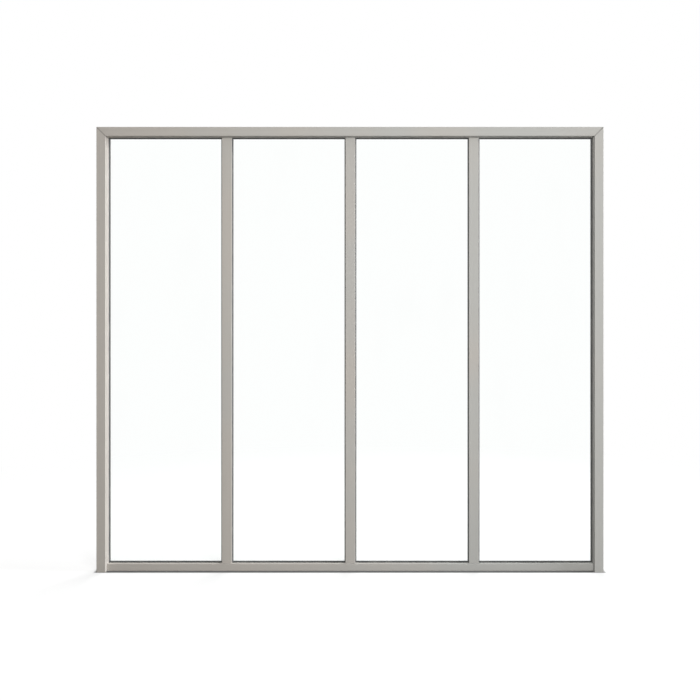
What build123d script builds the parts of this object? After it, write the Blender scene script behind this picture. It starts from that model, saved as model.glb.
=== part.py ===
"""Workshop-style interior window: four fixed panes in slim extruded aluminium, glazed from the rear.

X runs across the window, Y from the front face to the rear, Z up, in millimetres.
The origin is at the bottom centre of the outer box.
The head and the stiles share one extrusion, mitred at the top corners.
The bottom rail is set back and butts between the stiles, and the mullions stand between the rails.
Each section is drawn with x as the height from the outer edge or pocket floor and y as the depth
from the front face, and is extruded along its bar.
"""
import os

from build123d import *

os.makedirs("parts", exist_ok=True)

# Overall size
window_width = 1230.0
window_height = 1080.0
pane_count = 4

# Extrusions: walls, rounded arrises and screw ports
wall = 1.6
edge_radius = 0.8
port_radius = 2.4
port_slit = 1.2

# Heights of the hollow boxes behind the glazing pockets
frame_box = 15.5
sill_box = 9.0

# Depths from the front face
step_depth = 12.0
mullion_setback = 20.0
seat_depth = 25.0

# Step on the inner side of the head and stiles
sight_step = 1.5

# Glass, setting blocks and gaskets
glass_thickness = 6.0
glass_bite = 6.0
glass_arris = 0.5
block_thickness = 2.0
block_length = 60.0
block_inset = 60.0
gasket_thickness = 3.0
gasket_proud = 2.5
gasket_nose = 2.2

# Snap-in beads and the catches that hold them
bead_depth = 8.0
bead_wall = 1.2
bead_radius = 1.4
catch_stem = 1.2
catch_neck = 1.6
catch_head = 3.4
catch_cap = 1.0
catch_clearance = 0.2
catch_end = 6.0

# Joints, joint screws and wall fixings
mitre_gap = 0.2
bead_gap = 0.2
joint_hole_radius = 2.5
joint_access_radius = 3.75
fixing_radius = 2.75
jamb_fixing_spacing = 780.0

# Sizes that follow
pocket_depth = glass_bite + block_thickness
bead_height = pocket_depth
mullion_web = 2 * (port_radius + wall)
mullion_width = mullion_web + 2 * pocket_depth
mullion_port_depth = seat_depth + wall + port_radius
sill_port_height = port_radius + 2.5 * wall
sill_port_depth = (step_depth + seat_depth) / 2
joint_access_depth = 1.5 * wall
side_sight = frame_box + pocket_depth
front_sight = side_sight - sight_step
sill_sight = sill_box + pocket_depth
glass_depth = seat_depth + gasket_thickness
rear_gasket_depth = glass_depth + glass_thickness
bead_front = rear_gasket_depth + gasket_thickness
frame_depth = bead_front + bead_depth
bead_middle = bead_front + bead_depth / 2
front_y = -frame_depth / 2

daylight_width = (window_width - 2 * side_sight - (pane_count - 1) * mullion_width) / pane_count
daylight_height = window_height - side_sight - sill_sight
pane_pitch = daylight_width + mullion_width
pocket_width = daylight_width + 2 * pocket_depth
pocket_height = daylight_height + 2 * pocket_depth
glass_width = daylight_width + 2 * glass_bite
glass_height = daylight_height + 2 * glass_bite
daylight_middle = sill_sight + daylight_height / 2
fixing_y = front_y + glass_depth + glass_thickness / 2


def pane_x(pane):
    """Centre of a pane, counted from the left."""
    return (pane - (pane_count - 1) / 2) * pane_pitch


def mullion_x(gap):
    """Middle of a mullion, counted from the left."""
    return pane_x(gap) + pane_pitch / 2


def pocket_floor(side, pane):
    """Plane on a pocket floor: x towards the glass, y to the rear, z along the floor from one end."""
    left = pane_x(pane) - pocket_width / 2
    right = pane_x(pane) + pocket_width / 2
    low = daylight_middle - pocket_height / 2
    high = daylight_middle + pocket_height / 2
    starts = {
        "left": ((left, front_y, low), (1, 0, 0), (0, 0, 1)),
        "right": ((right, front_y, high), (-1, 0, 0), (0, 0, -1)),
        "top": ((left, front_y, high), (0, 0, -1), (1, 0, 0)),
        "bottom": ((right, front_y, low), (0, 0, 1), (-1, 0, 0)),
    }
    corner, inwards, along = starts[side]
    return Plane(origin=corner, x_dir=inwards, z_dir=along)


def bead_run(side):
    """Where a bead starts along its floor, and its length: upright beads run through at the corners."""
    if side in ("left", "right"):
        return 0.0, pocket_height
    return bead_height + bead_gap, pocket_width - 2 * (bead_height + bead_gap)


def glazing_plane(depth):
    """Upright plane at a depth from the front face: x across, y up, facing the front."""
    return Plane.XZ.offset(-(front_y + depth))


def corners_at(section, places):
    """The section's corners at the given places."""
    return section.vertices().filter_by(
        lambda corner: any(abs(corner.X - x) + abs(corner.Y - y) < wall / 10 for x, y in places)
    )


def frame_section():
    """Hollow L of the head and stiles: a box with a front lip, and a small step on the inner side."""
    with BuildSketch() as section:
        with BuildLine():
            Polyline(
                (0, 0),
                (front_sight, 0),
                (front_sight, step_depth),
                (side_sight, step_depth),
                (side_sight, seat_depth),
                (frame_box, seat_depth),
                (frame_box, frame_depth),
                (0, frame_depth),
                close=True,
            )
        make_face()
        offset(amount=-wall, kind=Kind.INTERSECTION, mode=Mode.SUBTRACT)
        arrises = [(0, 0), (front_sight, 0), (side_sight, step_depth), (0, frame_depth)]
        fillet(corners_at(section, arrises), radius=edge_radius)
    return section.sketch


def sill_section():
    """Hollow L of the bottom rail, with a screw port on a foot at the front and one in the rear box."""
    front_port = (sill_port_height, sill_port_depth)
    rear_port = (sill_box / 2, bead_middle)
    with BuildSketch() as section:
        with BuildLine():
            Polyline(
                (0, step_depth),
                (sill_sight, step_depth),
                (sill_sight, seat_depth),
                (sill_box, seat_depth),
                (sill_box, frame_depth),
                (0, frame_depth),
                close=True,
            )
        make_face()
        offset(amount=-wall, kind=Kind.INTERSECTION, mode=Mode.SUBTRACT)
        with Locations(front_port):
            Circle(port_radius + wall)
        with Locations((wall / 2, sill_port_depth)):
            Rectangle(
                sill_port_height - port_radius - wall,
                2 * wall,
                align=(Align.MIN, Align.CENTER),
            )
        with Locations(rear_port):
            Rectangle(sill_box - wall, 2 * (port_radius + wall))
        with Locations(front_port, rear_port):
            Circle(port_radius, mode=Mode.SUBTRACT)
        with Locations(front_port):
            Rectangle(
                port_radius + 2 * wall,
                port_slit,
                align=(Align.MIN, Align.CENTER),
                mode=Mode.SUBTRACT,
            )
        arrises = [(0, step_depth), (sill_sight, step_depth), (0, frame_depth)]
        fillet(corners_at(section, arrises), radius=edge_radius)
    return section.sketch


def mullion_section():
    """Hollow T of a mullion about its middle: head at the front, web to the rear with two screw ports."""
    head = mullion_width / 2
    web = mullion_web / 2
    port_block = 2 * (port_radius + wall)
    front_port = (0, mullion_port_depth)
    rear_port = (0, bead_middle)
    with BuildSketch() as section:
        with BuildLine():
            Polyline(
                (-head, mullion_setback),
                (head, mullion_setback),
                (head, seat_depth),
                (web, seat_depth),
                (web, frame_depth),
                (-web, frame_depth),
                (-web, seat_depth),
                (-head, seat_depth),
                close=True,
            )
        make_face()
        offset(amount=-wall, kind=Kind.INTERSECTION, mode=Mode.SUBTRACT)
        with Locations(front_port, rear_port):
            Rectangle(mullion_web - wall, port_block)
            Circle(port_radius, mode=Mode.SUBTRACT)
        with Locations(front_port):
            Rectangle(
                port_slit,
                port_block,
                align=(Align.CENTER, Align.MIN),
                mode=Mode.SUBTRACT,
            )
        with Locations(rear_port):
            Rectangle(
                port_slit,
                port_radius + 2 * wall,
                align=(Align.CENTER, Align.MAX),
                mode=Mode.SUBTRACT,
            )
        arrises = [(-head, mullion_setback), (head, mullion_setback)]
        fillet(corners_at(section, arrises), radius=edge_radius)
    return section.sketch


def catch_section():
    """T-shaped rib on a pocket floor, under whose head the lips of a bead snap."""
    with BuildSketch() as section:
        with Locations((0, bead_middle)):
            Rectangle(catch_neck + catch_cap, catch_stem, align=(Align.MIN, Align.CENTER))
        with Locations((catch_neck, bead_middle)):
            Rectangle(catch_cap, catch_head, align=(Align.MIN, Align.CENTER))
    return section.sketch


def bead_section():
    """Open C of a bead: two legs on the pocket floor, each with a lip that reaches under the catch."""
    lip = catch_neck - catch_clearance
    reach = catch_stem / 2 + catch_clearance
    with BuildSketch() as section:
        with BuildLine():
            Polyline(
                (0, bead_front),
                (bead_height, bead_front),
                (bead_height, frame_depth),
                (0, frame_depth),
                (0, bead_middle + reach),
                (lip, bead_middle + reach),
                (lip, frame_depth - bead_wall),
                (bead_height - bead_wall, frame_depth - bead_wall),
                (bead_height - bead_wall, bead_front + bead_wall),
                (lip, bead_front + bead_wall),
                (lip, bead_middle - reach),
                (0, bead_middle - reach),
                close=True,
            )
        make_face()
        fillet(corners_at(section, [(bead_height, frame_depth)]), radius=bead_radius)
    return section.sketch


frame_profile = frame_section()
sill_profile = sill_section()
mullion_profile = mullion_section()
catch_profile = catch_section()
bead_profile = bead_section()


def catch_plane(side, pane):
    """Start of the catch inside a bead, set in from the bead's end."""
    start, _ = bead_run(side)
    return pocket_floor(side, pane).offset(start + catch_end)


def catch_length(side):
    """Length of the catch inside a bead."""
    _, length = bead_run(side)
    return length - 2 * catch_end


def mullion_screw_planes(height, outwards):
    """Planes on a rail's outer face in line with the mullions' front screw ports, facing out."""
    return [
        Plane(
            origin=(mullion_x(gap), front_y + mullion_port_depth, height),
            z_dir=(0, 0, outwards),
        )
        for gap in range(pane_count - 1)
    ]


# Left stile, mitred at the top, with its wall-fixing holes and the bottom rail's joint-screw hole
left_mitre = Plane(origin=(-window_width / 2, 0, window_height), z_dir=(1, 0, 1))
with BuildPart() as left_stile:
    with BuildSketch(
        Plane(origin=(-window_width / 2, front_y, 0), x_dir=(1, 0, 0), z_dir=(0, 0, 1))
    ):
        add(frame_profile)
    extrude(amount=window_height)
    split(bisect_by=left_mitre.offset(-mitre_gap / 2), keep=Keep.BOTTOM)
    with BuildSketch(catch_plane("left", 0)):
        add(catch_profile)
    extrude(amount=catch_length("left"))
    with BuildSketch(Plane.YZ.offset(-window_width / 2)):
        with Locations((fixing_y, window_height / 2)):
            with GridLocations(0, jamb_fixing_spacing, 1, 2):
                Circle(fixing_radius)
    extrude(amount=frame_box + wall, mode=Mode.SUBTRACT)
    with Locations(
        Plane(
            origin=(-window_width / 2, front_y + sill_port_depth, sill_port_height),
            z_dir=(-1, 0, 0),
        )
    ):
        CounterBoreHole(
            radius=joint_hole_radius,
            counter_bore_radius=joint_access_radius,
            counter_bore_depth=joint_access_depth,
            depth=side_sight + wall,
        )
left_stile.part.label = "left_stile"
export_step(left_stile.part, "parts/left_stile.step")

# Right stile, the mirror image of the left one
with BuildPart() as right_stile:
    mirror(left_stile.part, about=Plane.YZ)
right_stile.part.label = "right_stile"
export_step(right_stile.part, "parts/right_stile.step")

# Top rail, mitred at both ends, with a catch and a wall-fixing hole over each pane
right_mitre = Plane(origin=(window_width / 2, 0, window_height), z_dir=(-1, 0, 1))
with BuildPart() as top_rail:
    with BuildSketch(
        Plane(
            origin=(-window_width / 2, front_y, window_height),
            x_dir=(0, 0, -1),
            z_dir=(1, 0, 0),
        )
    ):
        add(frame_profile)
    extrude(amount=window_width)
    split(bisect_by=left_mitre.offset(mitre_gap / 2), keep=Keep.TOP)
    split(bisect_by=right_mitre.offset(mitre_gap / 2), keep=Keep.TOP)
    for pane in range(pane_count):
        with BuildSketch(catch_plane("top", pane)):
            add(catch_profile)
        extrude(amount=catch_length("top"))
    with BuildSketch(Plane.XY.offset(window_height)):
        with Locations((0, fixing_y)):
            with GridLocations(pane_pitch, 0, pane_count, 1):
                Circle(fixing_radius)
    extrude(amount=-(frame_box + wall), mode=Mode.SUBTRACT)
    with Locations(mullion_screw_planes(window_height, 1)):
        CounterBoreHole(
            radius=joint_hole_radius,
            counter_bore_radius=joint_access_radius,
            counter_bore_depth=joint_access_depth,
            depth=frame_box + wall,
        )
top_rail.part.label = "top_rail"
export_step(top_rail.part, "parts/top_rail.step")

# Bottom rail, its front chamber coped to the stiles, its rear box run out to their pocket floors
sill_length = window_width - 2 * frame_box
with BuildPart() as bottom_rail:
    with BuildSketch(
        Plane(origin=(sill_length / 2, front_y, 0), x_dir=(0, 0, 1), z_dir=(-1, 0, 0))
    ):
        add(sill_profile)
    extrude(amount=sill_length)
    with BuildSketch(glazing_plane(seat_depth)):
        for end in (-1, 1):
            with Locations((end * (sill_length - pocket_depth) / 2, sill_sight / 2)):
                Rectangle(pocket_depth, sill_sight)
    extrude(amount=seat_depth, mode=Mode.SUBTRACT)
    for pane in range(pane_count):
        with BuildSketch(catch_plane("bottom", pane)):
            add(catch_profile)
        extrude(amount=catch_length("bottom"))
    with BuildSketch(Plane.XY):
        with Locations((0, fixing_y)):
            with GridLocations(pane_pitch, 0, pane_count, 1):
                Circle(fixing_radius)
    extrude(amount=sill_box + wall, mode=Mode.SUBTRACT)
    with Locations(mullion_screw_planes(0, -1)):
        CounterBoreHole(
            radius=joint_hole_radius,
            counter_bore_radius=joint_access_radius,
            counter_bore_depth=joint_access_depth,
            depth=sill_box + wall,
        )
bottom_rail.part.label = "bottom_rail"
export_step(bottom_rail.part, "parts/bottom_rail.step")

# Mullions, their webs run down into the rails' pockets and their heads coped between the rails
for gap in range(pane_count - 1):
    with BuildPart() as mullion:
        with BuildSketch(
            Plane(
                origin=(mullion_x(gap), front_y, sill_box),
                x_dir=(1, 0, 0),
                z_dir=(0, 0, 1),
            )
        ):
            add(mullion_profile)
        extrude(amount=pocket_height)
        with BuildSketch(glazing_plane(seat_depth)):
            with Locations((mullion_x(gap), daylight_middle)):
                with GridLocations(0, daylight_height + pocket_depth, 1, 2):
                    Rectangle(mullion_width, pocket_depth)
        extrude(amount=seat_depth, mode=Mode.SUBTRACT)
        for side, pane in (("right", gap), ("left", gap + 1)):
            with BuildSketch(catch_plane(side, pane)):
                add(catch_profile)
            extrude(amount=catch_length(side))
    name = f"mullion_{gap + 1}"
    mullion.part.label = name
    export_step(mullion.part, f"parts/{name}.step")

# Glass panes with ground arrises
for pane in range(pane_count):
    with BuildPart() as glass:
        with BuildSketch(glazing_plane(rear_gasket_depth)):
            with Locations((pane_x(pane), daylight_middle)):
                Rectangle(glass_width, glass_height)
        extrude(amount=glass_thickness)
        sides = glass.faces().sort_by(Axis.Y)
        chamfer(sides[0].edges() + sides[-1].edges(), length=glass_arris)
    name = f"glass_pane_{pane + 1}"
    glass.part.label = name
    export_step(glass.part, f"parts/{name}.step")


def gasket_ring(pane, depth, nose_at_front):
    """Gasket round a pane at a depth, proud of the metal, its inner edge rounded away from the glass."""
    with BuildPart() as ring:
        with BuildSketch(glazing_plane(depth + gasket_thickness)):
            with Locations((pane_x(pane), daylight_middle)):
                Rectangle(glass_width, glass_height)
                Rectangle(
                    daylight_width - 2 * gasket_proud,
                    daylight_height - 2 * gasket_proud,
                    mode=Mode.SUBTRACT,
                )
        extrude(amount=gasket_thickness)
        nose_face = ring.faces().sort_by(Axis.Y)[0 if nose_at_front else -1]
        fillet(nose_face.inner_wires()[0].edges(), radius=gasket_nose)
    return ring.part


# Front and rear gaskets
for pane in range(pane_count):
    front_gasket = gasket_ring(pane, seat_depth, True)
    front_gasket.label = f"front_gasket_{pane + 1}"
    export_step(front_gasket, f"parts/{front_gasket.label}.step")
    rear_gasket = gasket_ring(pane, rear_gasket_depth, False)
    rear_gasket.label = f"rear_gasket_{pane + 1}"
    export_step(rear_gasket, f"parts/{rear_gasket.label}.step")

# Glazing beads, four to a pane
for pane in range(pane_count):
    for side in ("left", "right", "top", "bottom"):
        start, length = bead_run(side)
        with BuildPart() as bead:
            with BuildSketch(pocket_floor(side, pane).offset(start)):
                add(bead_profile)
            extrude(amount=length)
        name = f"bead_{side}_{pane + 1}"
        bead.part.label = name
        export_step(bead.part, f"parts/{name}.step")

# Setting blocks, two under each pane
with BuildPart() as setting_blocks:
    with BuildSketch(Plane.XY.offset(sill_box)):
        for pane in range(pane_count):
            with Locations((pane_x(pane), fixing_y)):
                with GridLocations(glass_width - 2 * block_inset, 0, 2, 1):
                    Rectangle(block_length, glass_thickness)
    extrude(amount=block_thickness)
setting_blocks.part.label = "setting_blocks"
export_step(setting_blocks.part, "parts/setting_blocks.step")
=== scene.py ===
"""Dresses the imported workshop-style interior window: powder coat, gaskets, glass and joint screws.

Metres: X across the window, Y from the front face to the rear, Z up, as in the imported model.
"""

import math

import bpy
import numpy as np
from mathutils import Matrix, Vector


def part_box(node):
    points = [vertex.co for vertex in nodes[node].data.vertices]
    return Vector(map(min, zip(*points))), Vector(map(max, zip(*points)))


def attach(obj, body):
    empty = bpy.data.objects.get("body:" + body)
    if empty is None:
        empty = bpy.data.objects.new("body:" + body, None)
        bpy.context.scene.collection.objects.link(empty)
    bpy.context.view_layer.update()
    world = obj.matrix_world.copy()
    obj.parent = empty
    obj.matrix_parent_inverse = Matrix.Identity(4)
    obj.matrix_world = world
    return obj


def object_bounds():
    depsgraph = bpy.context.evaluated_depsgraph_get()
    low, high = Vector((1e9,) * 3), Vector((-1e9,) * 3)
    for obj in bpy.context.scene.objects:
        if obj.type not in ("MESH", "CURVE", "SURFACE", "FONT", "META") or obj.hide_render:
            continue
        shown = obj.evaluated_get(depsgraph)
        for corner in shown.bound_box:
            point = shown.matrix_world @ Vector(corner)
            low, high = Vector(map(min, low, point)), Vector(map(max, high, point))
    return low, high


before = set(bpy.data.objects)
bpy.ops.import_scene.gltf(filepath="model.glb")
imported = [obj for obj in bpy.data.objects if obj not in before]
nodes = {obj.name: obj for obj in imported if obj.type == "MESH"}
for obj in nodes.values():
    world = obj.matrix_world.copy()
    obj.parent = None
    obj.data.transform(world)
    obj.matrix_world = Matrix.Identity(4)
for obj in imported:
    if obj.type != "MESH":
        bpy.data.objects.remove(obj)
cad_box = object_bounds()

WINDOW_LOW, WINDOW_HIGH = cad_box
HALF_WIDTH = WINDOW_HIGH.x
HEIGHT = WINDOW_HIGH.z
FRONT = WINDOW_LOW.y
MIDDLE = Vector((0.0, 0.0, HEIGHT / 2))

# The photograph's view: level, a little right of the middle, 2.6 m in front of the frame's face
EYE_RIGHT = 0.10
EYE_HEIGHT = 0.72
EYE_DISTANCE = 2.6
VIEW_WIDTH = 1.69722
VIEW_MIDDLE = 0.539
FILM = 36.0

# A bar's direction, as the number of its axis
ACROSS, UP = 0, 2

# Joint screws: the places of the ports that they run in, and the walls that their heads bear on
WALL = 0.0016
FRAME_BOX = 0.0155
SILL_BOX = 0.009
STILE_FACE = 0.0235
SILL_PORT = (FRONT + 0.0185, 0.0064)
MULLION_PORT = FRONT + 0.029

# A joint screw's own sizes
SCREW_SIDES = 24
SHANK_RINGS = 87
TIP = -0.0250
THREAD_START, THREAD_END = -0.0240, -0.0010
TAPER = 0.0040
PITCH = 0.0016
ROOT_RADIUS = 0.00185
THREAD_DEPTH = 0.0005
SOCKET_APOTHEM = 0.0015
SOCKET_FLOOR = 0.0009

WHITE = (1.0, 1.0, 1.0, 1.0)


class Wire:
    """A socket in a node tree. Arithmetic on it adds Math nodes, and node() adds any other."""

    def __init__(self, tree, socket=None):
        self.tree = tree
        self.socket = socket

    def node(self, kind, settings, sockets, out=0):
        """Adds a node: its settings first, then a value or a wire for each of its sockets."""
        made = self.tree.nodes.new(kind)
        for name, value in settings.items():
            setattr(made, name, value)
        for name, value in sockets.items():
            if isinstance(value, Wire):
                self.tree.links.new(value.socket, made.inputs[name])
            else:
                made.inputs[name].default_value = value
        return Wire(self.tree, made.outputs[out]) if made.outputs else made

    def math(self, operation, first, second=0.0):
        return self.node("ShaderNodeMath", {"operation": operation}, {0: first, 1: second})

    def __add__(self, other):
        return self.math("ADD", self, other)

    __radd__ = __add__

    def __sub__(self, other):
        return self.math("SUBTRACT", self, other)

    def __rsub__(self, other):
        return self.math("SUBTRACT", other, self)

    def __mul__(self, other):
        return self.math("MULTIPLY", self, other)

    __rmul__ = __mul__

    def __abs__(self):
        return self.math("ABSOLUTE", self)

    def between(self, low, high):
        """Smooth step from 0 at low to 1 at high."""
        ranges = {"From Min": low, "From Max": high, "Value": self}
        return self.node("ShaderNodeMapRange", {"interpolation_type": "SMOOTHSTEP"}, ranges)

    def mix(self, first, second):
        """Colour from first to second as this goes from 0 to 1."""
        ends = {0: self, 6: first, 7: second}
        return self.node("ShaderNodeMix", {"data_type": "RGBA", "clamp_factor": True}, ends, 2)


def coordinates(wire):
    """Object coordinates, in metres, and their three parts."""
    place = wire.node("ShaderNodeTexCoord", {}, {}, "Object")
    parts = [wire.node("ShaderNodeSeparateXYZ", {}, {0: place}, part) for part in "XYZ"]
    return place, parts


def noise(wire, place, scale, detail=2.0, stretch=(1.0, 1.0, 1.0)):
    """Noise from 0 to 1 with features 1/scale m across, drawn out where stretch is under 1."""
    drawn = wire.node("ShaderNodeMapping", {}, {"Vector": place, "Scale": stretch})
    return wire.node("ShaderNodeTexNoise", {}, {"Vector": drawn, "Scale": scale, "Detail": detail})


def bump(wire, height, depth, strength=1.0):
    """Normal pushed about by a height from 0 to 1, depth metres deep."""
    push = {"Height": height, "Distance": depth, "Strength": strength}
    return wire.node("ShaderNodeBump", {}, push)


def new_finish(name):
    """An empty material and a wire into its node tree."""
    material = bpy.data.materials.new(name)
    material.use_nodes = True
    material.node_tree.nodes.clear()
    return material, Wire(material.node_tree)


def lay(wire, shader):
    """Wires a shader to the material's surface."""
    wire.node("ShaderNodeOutputMaterial", {}, {"Surface": shader})


def coated_aluminium(name, along, mitred):
    """Satin powder coat: fine grain, faint die lines along the bar and dark mitres.

    Its grey drifts slowly at random, its own tone. Towards the right of the window it turns a little
    cooler, a painted tint standing in for the cool key lamp's light on that side.
    """
    material, wire = new_finish(name)
    place, (x, y, z) = coordinates(wire)
    drawn = [1.0, 1.0, 1.0]
    drawn[along] = 0.006
    die_lines = noise(wire, place, 420.0, 2.0, drawn)
    grain = noise(wire, place, 1700.0, 3.0)
    speckle = noise(wire, place, 620.0, 1.0)
    drift = noise(wire, place, 3.1, 2.0)
    warm = (0.437, 0.405, 0.372, 1.0)
    cool = (0.408, 0.404, 0.387, 1.0)
    # Painted light: the x * 0.35 trend towards the cool grey on the right paints the cool key lamp's
    # tint; the noise drift is the coat's own tone
    shade = (drift + x * 0.35).between(0.32, 0.68).mix(warm, cool)
    darker = (0.6 - 0.5 * grain - 0.45 * die_lines - 0.25 * speckle).between(-0.4, 0.4)
    shade = (darker * 0.22).mix(shade, (0.26, 0.245, 0.225, 1.0))
    if mitred:
        from_mitre = abs(HALF_WIDTH - abs(x) - HEIGHT + z)
        joint = 1.0 - from_mitre.between(0.0004, 0.0024)
        shade = (joint * 0.55).mix(shade, (0.09, 0.085, 0.08, 1.0))
    relief = grain * 0.7 + speckle * 0.2 + die_lines * 0.35
    lay(wire, wire.node("ShaderNodeBsdfPrincipled", {}, {
        "Base Color": shade,
        "Roughness": 0.60 + grain * 0.14 + drift * 0.08,
        "Metallic": 0.0,
        "Specular IOR Level": 0.08,
        "Normal": bump(wire, relief, 0.00004, 0.6),
    }))
    return material


def gasket_rubber():
    """Black extruded rubber: fine pores and a little dust."""
    material, wire = new_finish("black_gasket_rubber")
    place, _ = coordinates(wire)
    pores = noise(wire, place, 2100.0, 2.0)
    dust = noise(wire, place, 35.0, 4.0)
    shade = dust.between(0.45, 0.8).mix((0.075, 0.075, 0.076, 1.0), (0.125, 0.122, 0.118, 1.0))
    lay(wire, wire.node("ShaderNodeBsdfPrincipled", {}, {
        "Base Color": shade,
        "Roughness": 0.6 + pores * 0.12 + dust * 0.1,
        "Specular IOR Level": 0.5,
        "Normal": bump(wire, pores, 0.00005, 0.5),
    }))
    return material


def block_plastic():
    """Dark moulded plastic of the setting blocks, with a fine matt grain."""
    material, wire = new_finish("setting_block_plastic")
    place, _ = coordinates(wire)
    grain = noise(wire, place, 1500.0, 2.0)
    shade = grain.mix((0.04, 0.04, 0.042, 1.0), (0.065, 0.065, 0.067, 1.0))
    lay(wire, wire.node("ShaderNodeBsdfPrincipled", {}, {
        "Base Color": shade,
        "Roughness": 0.5 + grain * 0.15,
        "Normal": bump(wire, grain, 0.00004, 0.6),
    }))
    return material


def clear_glass():
    """Clear float glass, faintly green, with a trace of wiping haze. Lamps shine through it."""
    material, wire = new_finish("clear_float_glass")
    place, _ = coordinates(wire)
    haze = noise(wire, place, 9.0, 3.0, (1.0, 1.0, 0.45)).between(0.5, 0.8)
    wiped = (0.982, 0.996, 0.989, 1.0)
    hazy = (0.972, 0.986, 0.979, 1.0)
    body = wire.node("ShaderNodeBsdfPrincipled", {}, {
        "Base Color": haze.mix(wiped, hazy),
        "Roughness": haze * 0.012,
        "IOR": 1.5,
        "Transmission Weight": 1.0,
    })
    through = wire.node("ShaderNodeBsdfTransparent", {}, {"Color": (0.94, 0.96, 0.95, 1.0)})
    shadow_ray = wire.node("ShaderNodeLightPath", {}, {}, "Is Shadow Ray")
    lay(wire, wire.node("ShaderNodeMixShader", {}, {0: shadow_ray, 1: body, 2: through}))
    return material


def seen(wire):
    """1 for rays that show the background: camera, glossy and transmission rays.

    A ray that a diffuse bounce sent counts as 0.
    """
    rays = [
        wire.node("ShaderNodeLightPath", {}, {}, out)
        for out in ("Is Camera Ray", "Is Glossy Ray", "Is Transmission Ray", "Diffuse Depth")
    ]
    direct = 1.0 - rays[3].between(0.0, 1.0)
    return wire.math("MINIMUM", rays[0] + rays[1] + rays[2], 1.0) * direct


def studio_floor():
    """Pale matt floor: white to the eye where it is lit and further off, with a soft shadow.

    Close along the window's foot the floor carries a painted contact shadow, darker the nearer it is
    to the foot's outline.
    """
    material, wire = new_finish("pale_studio_floor")
    place, (x, y, _) = coordinates(wire)
    shows = seen(wire)
    beside = wire.math("MAXIMUM", abs(x) - HALF_WIDTH, 0.0)
    before = wire.math("MAXIMUM", abs(y) + FRONT, 0.0)
    from_foot = wire.math("MAXIMUM", beside, before)
    # Painted contact shadow: dark grey painted along the window's foot, fading out over 10 mm, with
    # the white emission share dropped there too
    clear_of_painted_foot_shadow = from_foot.between(0.0, 0.010)
    mottle = noise(wire, place, 5.0, 2.0)
    pale = mottle.mix((0.90, 0.90, 0.89, 1.0), (0.94, 0.94, 0.93, 1.0))
    pale = clear_of_painted_foot_shadow.mix((0.18, 0.18, 0.18, 1.0), pale)
    unseen = (0.25, 0.25, 0.24, 1.0)
    matt = wire.node("ShaderNodeBsdfDiffuse", {}, {"Color": shows.mix(unseen, pale)})
    away = wire.node("ShaderNodeVectorMath", {"operation": "LENGTH"}, {0: place}, "Value")
    white_share = (away.between(0.75, 1.9) * 0.3 + 0.7) * clear_of_painted_foot_shadow
    white = wire.node("ShaderNodeEmission", {}, {"Color": WHITE, "Strength": 1.0})
    shares = {0: shows * white_share, 1: matt, 2: white}
    lay(wire, wire.node("ShaderNodeMixShader", {}, shares))
    reach = 9.0
    sheet = bpy.data.meshes.new("studio_floor")
    signs = [(-1, -1), (1, -1), (1, 1), (-1, 1)]
    corners = [(across * reach, along * reach, 0.0) for across, along in signs]
    sheet.from_pydata(corners, [], [(0, 1, 2, 3)])
    sheet.materials.append(material)
    floor = bpy.data.objects.new("studio_floor", sheet)
    bpy.context.scene.collection.objects.link(floor)


def studio_air(level):
    """World: white behind the window, and a level share of it as light from all round."""
    world = bpy.data.worlds.new("studio_air")
    world.use_nodes = True
    world.node_tree.nodes.clear()
    wire = Wire(world.node_tree)
    strength = level + seen(wire) * (1.0 - level)
    air = wire.node("ShaderNodeBackground", {}, {"Color": WHITE, "Strength": strength})
    wire.node("ShaderNodeOutputWorld", {}, {"Surface": air})
    bpy.context.scene.world = world


def soft_lamp(name, place, size, level, tint, mirrored=True):
    """Area lamp aimed at the window's middle. A face there that is turned to it gets that level.

    One that isn't mirrored leaves no bright square in the panes.
    """
    lamp = bpy.data.lights.new(name, "AREA")
    lamp.shape = "RECTANGLE"
    lamp.size, lamp.size_y = size
    towards = MIDDLE - Vector(place)
    lamp.energy = level * (math.pi * towards.length) ** 2
    lamp.color = tint
    stand = bpy.data.objects.new(name, lamp)
    stand.location = place
    stand.rotation_euler = towards.to_track_quat("-Z", "Y").to_euler()
    stand.visible_glossy = mirrored
    stand.visible_transmission = mirrored
    bpy.context.scene.collection.objects.link(stand)


def zinc_plate():
    """Bright zinc plate on steel: pale blue grey, a little cloudy, with fine pits."""
    material, wire = new_finish("zinc_plated_steel")
    place, _ = coordinates(wire)
    cloud = noise(wire, place, 260.0, 3.0)
    pits = noise(wire, place, 3600.0, 2.0)
    lay(wire, wire.node("ShaderNodeBsdfPrincipled", {}, {
        "Base Color": cloud.mix((0.56, 0.57, 0.59, 1.0), (0.72, 0.72, 0.70, 1.0)),
        "Metallic": 1.0,
        "Roughness": 0.26 + cloud * 0.16,
        "Normal": bump(wire, pits, 0.00002, 0.6),
    }))
    return material


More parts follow.
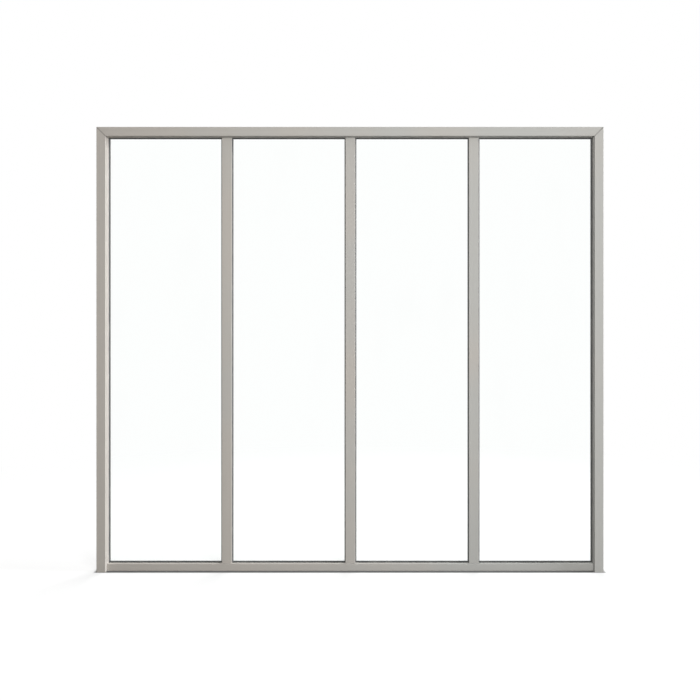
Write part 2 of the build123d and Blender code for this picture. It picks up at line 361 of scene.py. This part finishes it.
def screw_profile(turn):
    """Distance of a joint screw's surface from its axis, ring by ring, and each ring's height.

    turn is the angle round the axis. Height 0 is where the head bears, and the head is above it.
    The thread's radius is root + depth * (1 - |2 f - 1|), where f is the fractional part of
    height / pitch - turn / 2 pi. Root and depth shrink towards the tip.
    The socket's wall is a hexagon, at apothem / cos(turn to the nearest flat's middle).
    """
    heights = np.linspace(THREAD_START, THREAD_END, SHANK_RINGS)
    along = heights[:, None] / PITCH - turn[None, :] / (2 * np.pi)
    ridge = 1.0 - np.abs(2.0 * (along % 1.0) - 1.0)
    fade = np.clip((heights[:, None] - THREAD_START) / TAPER, 0.0, 1.0)
    shank = ROOT_RADIUS * (0.55 + 0.45 * fade) + THREAD_DEPTH * ridge * fade
    from_corner = np.arccos(np.cos(turn * 6.0)) / 6.0
    hexagon = SOCKET_APOTHEM / np.cos(np.pi / 6.0 - from_corner)
    whole = np.ones_like(turn)
    rings = [
        (0.0019 * whole, 0.0),
        (0.0032 * whole, 0.0),
        (0.0034 * whole, 0.0002),
        (0.0034 * whole, 0.0024),
        (0.00322 * whole, 0.00282),
        (0.0028 * whole, 0.0030),
        (1.12 * hexagon, 0.0030),
        (hexagon, 0.00283),
        (hexagon, 0.0014),
        (0.5 * hexagon, 0.0011),
    ]
    radii = np.vstack([shank] + [radius[None, :] for radius, _ in rings])
    return radii, np.concatenate([heights, [height for _, height in rings]])


def joint_screw(name, seat, outwards, finish):
    """Thread-forming screw with a small round head, its axis through seat and its head outwards.

    Points are seat + radius (cos turn, sin turn) across the axis + height along it, on a grid of
    rings by turns, closed by a point at the tip and one in the socket's floor.
    """
    sides = SCREW_SIDES
    turn = np.arange(sides) * (2 * np.pi / sides)
    radii, heights = screw_profile(turn)
    axis = np.array(outwards, float)
    first = np.roll(axis, 1)
    second = np.cross(axis, first)
    reach = radii[:, :, None] * (np.cos(turn)[:, None] * first + np.sin(turn)[:, None] * second)
    grid = np.array(seat) + reach + heights[:, None, None] * axis
    tip = np.array(seat) + TIP * axis
    floor = np.array(seat) + SOCKET_FLOOR * axis
    points = np.vstack([grid.reshape(-1, 3), tip, floor])

    rings = len(heights)
    ring, side = np.meshgrid(np.arange(rings - 1), np.arange(sides), indexing="ij")
    beside = (side + 1) % sides
    quads = np.stack([
        ring * sides + side,
        ring * sides + beside,
        (ring + 1) * sides + beside,
        (ring + 1) * sides + side,
    ], axis=-1).reshape(-1, 4)
    edge = np.arange(sides)
    after = (edge + 1) % sides
    last = (rings - 1) * sides
    tip_fan = np.stack([after, edge, np.full(sides, rings * sides)], axis=-1)
    floor_fan = np.stack([last + edge, last + after, np.full(sides, rings * sides + 1)], axis=-1)

    mesh = bpy.data.meshes.new(name)
    mesh.from_pydata(points.tolist(), [], quads.tolist() + tip_fan.tolist() + floor_fan.tolist())
    mesh.shade_smooth()
    mesh.set_sharp_from_angle(angle=math.radians(32.0))
    mesh.materials.append(finish)
    screw = bpy.data.objects.new(name, mesh)
    bpy.context.scene.collection.objects.link(screw)
    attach(screw, "root")


def camera():
    """Level camera at the photograph's place, shifted so that the window sits as it does there."""
    lens = bpy.data.cameras.new("photograph_view")
    lens.sensor_width = FILM
    lens.lens = FILM * EYE_DISTANCE / VIEW_WIDTH
    lens.shift_x = -EYE_RIGHT / VIEW_WIDTH
    lens.shift_y = (VIEW_MIDDLE - EYE_HEIGHT) / VIEW_WIDTH
    lens.clip_start = 0.01
    lens.clip_end = 60.0
    eye = bpy.data.objects.new("photograph_view", lens)
    eye.location = (EYE_RIGHT, FRONT - EYE_DISTANCE, EYE_HEIGHT)
    eye.rotation_euler = (math.pi / 2, 0.0, 0.0)
    bpy.context.scene.collection.objects.link(eye)
    bpy.context.scene.camera = eye


def dress(names, material):
    """Puts a material in the slots of the named CAD nodes."""
    for name in names:
        slots = nodes[name].data.materials
        slots.clear()
        slots.append(material)


panes = range(1, 5)
gaps = range(1, 4)
dress(["left_stile", "right_stile"], coated_aluminium("coated_stile", UP, True))
dress(["top_rail"], coated_aluminium("coated_head", ACROSS, True))
upright_bars = [f"mullion_{gap}" for gap in gaps]
upright_bars += [f"bead_{side}_{pane}" for side in ("left", "right") for pane in panes]
level_bars = ["bottom_rail"]
level_bars += [f"bead_{side}_{pane}" for side in ("top", "bottom") for pane in panes]
dress(upright_bars, coated_aluminium("coated_upright", UP, False))
dress(level_bars, coated_aluminium("coated_level", ACROSS, False))
gaskets = [f"{face}_gasket_{pane}" for face in ("front", "rear") for pane in panes]
dress(gaskets, gasket_rubber())
dress([f"glass_pane_{pane}" for pane in panes], clear_glass())
dress(["setting_blocks"], block_plastic())

plate = zinc_plate()
stile_wall = HALF_WIDTH - STILE_FACE + WALL
joint_screw("joint_screw_left", (-stile_wall, *SILL_PORT), (-1, 0, 0), plate)
joint_screw("joint_screw_right", (stile_wall, *SILL_PORT), (1, 0, 0), plate)
for gap in gaps:
    low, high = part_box(f"mullion_{gap}")
    middle = (low[0] + high[0]) / 2
    top_seat = (middle, MULLION_PORT, HEIGHT - FRAME_BOX + WALL)
    bottom_seat = (middle, MULLION_PORT, SILL_BOX - WALL)
    joint_screw(f"joint_screw_top_{gap}", top_seat, (0, 0, 1), plate)
    joint_screw(f"joint_screw_bottom_{gap}", bottom_seat, (0, 0, -1), plate)

studio_floor()
studio_air(0.10)
soft_lamp("key_from_the_right", (6.5, -0.60, 1.5), (0.9, 1.6), 1.42, (0.97, 1.0, 1.04))
soft_lamp("front_fill", (0.48, -2.10, 1.15), (1.0, 0.8), 0.95, (1.0, 1.0, 0.99), mirrored=False)
soft_lamp("rear_fill", (0.6, 3.0, 2.9), (2.0, 1.4), 1.1, (1.0, 1.0, 1.0), mirrored=False)
soft_lamp("left_fill", (-1.7, 0.5, 1.0), (0.8, 0.8), 0.16, (1.0, 1.0, 1.0), mirrored=False)
camera()

bpy.context.scene.view_settings.view_transform = "Standard"
